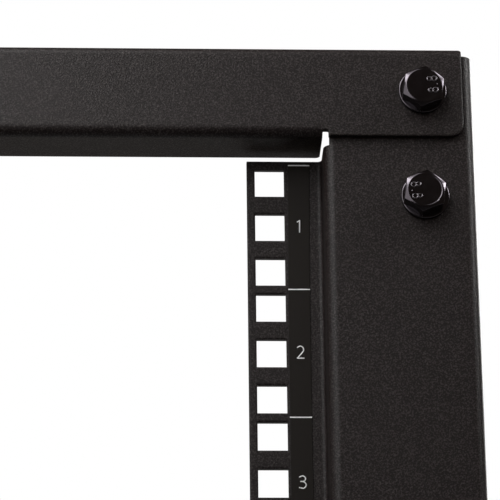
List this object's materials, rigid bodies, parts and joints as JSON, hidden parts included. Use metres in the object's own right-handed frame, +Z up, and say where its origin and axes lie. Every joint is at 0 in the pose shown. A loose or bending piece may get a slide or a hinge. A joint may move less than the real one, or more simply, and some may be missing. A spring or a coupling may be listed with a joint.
{
  "type": "four-post open frame rack",
  "caption": "Open frame rack for 19-inch equipment: folded black steel posts with square mounting holes, bolted crossbars, telescoping side rails and levelling feet.",
  "frame": {"origin": "on the floor, below the middle of the rack", "axes": "+X to the right as seen from the front, +Y from front to rear, +Z up"},
  "size_m": [0.6, 0.7834, 0.6359],
  "materials": {
    "powder_coat": "fine-textured black powder coat",
    "black_steel": "black zinc, half gloss",
    "zinc_steel": "bright zinc",
    "foot_rubber": "matt"
  },
  "bodies": {
    "root": {"foot_lock_nuts": "zinc_steel", "foot_weld_nuts": "zinc_steel", "front_bottom_crossbar": "powder_coat", "front_frame_bolts": "black_steel", "front_frame_nuts": "black_steel", "front_frame_washers": "black_steel", "front_left_foot_pad": "foot_rubber", "front_left_foot_plate": "powder_coat", "front_left_foot_stud": "zinc_steel", "front_left_post": "powder_coat", "front_right_foot_pad": "foot_rubber", "front_right_foot_plate": "powder_coat", "front_right_foot_stud": "zinc_steel", "front_right_post": "powder_coat", "front_top_crossbar": "powder_coat", "left_bottom_rail_front_half": "powder_coat", "left_bottom_rail_rear_half": "powder_coat", "left_rail_bolts": "black_steel", "left_rail_nuts": "black_steel", "left_rail_washers": "black_steel", "left_top_rail_front_half": "powder_coat", "left_top_rail_rear_half": "powder_coat", "rear_bottom_crossbar": "powder_coat", "rear_frame_bolts": "black_steel", "rear_frame_nuts": "black_steel", "rear_frame_washers": "black_steel", "rear_left_foot_pad": "foot_rubber", "rear_left_foot_plate": "powder_coat", "rear_left_foot_stud": "zinc_steel", "rear_left_post": "powder_coat", "rear_right_foot_pad": "foot_rubber", "rear_right_foot_plate": "powder_coat", "rear_right_foot_stud": "zinc_steel", "rear_right_post": "powder_coat", "rear_top_crossbar": "powder_coat", "right_bottom_rail_front_half": "powder_coat", "right_bottom_rail_rear_half": "powder_coat", "right_rail_bolts": "black_steel", "right_rail_nuts": "black_steel", "right_rail_washers": "black_steel", "right_top_rail_front_half": "powder_coat", "right_top_rail_rear_half": "powder_coat"}
  },
  "joints": []
}
